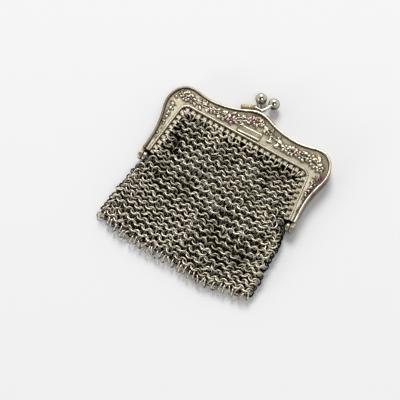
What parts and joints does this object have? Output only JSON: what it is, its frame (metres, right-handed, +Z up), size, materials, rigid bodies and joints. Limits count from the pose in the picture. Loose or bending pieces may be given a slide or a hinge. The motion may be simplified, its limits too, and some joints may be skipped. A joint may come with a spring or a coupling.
{
  "type": "metal mesh purse",
  "caption": "Small flat purse of interlocked metal rings on a hinged cast frame with a floral border, a bare cartouche and a ball kiss clasp, closed and lying flat.",
  "frame": {"origin": "centre of the purse's lowest face, where it lies on its back on a table", "axes": "+X along the frame from its left hinge to its right one, +Y from the hem towards the clasp, +Z up out of the front of the purse"},
  "size_m": [0.0686, 0.079, 0.0054],
  "materials": {
    "frame_metal": "cast nickel silver, worn bright on its raised edges and dark in its hollows",
    "clasp_metal": "polished balls and arms, dull tabs",
    "ring_metal": "drawn nickel silver wire, worn bright, dark between the rings"
  },
  "bodies": {
    "root": {"front_frame": "frame_metal", "back_frame": "frame_metal", "hinge_rivet_left": "frame_metal", "hinge_rivet_right": "frame_metal", "clasp_front": "clasp_metal", "clasp_back": "clasp_metal", "mesh_bag": "ring_metal"}
  },
  "joints": []
}
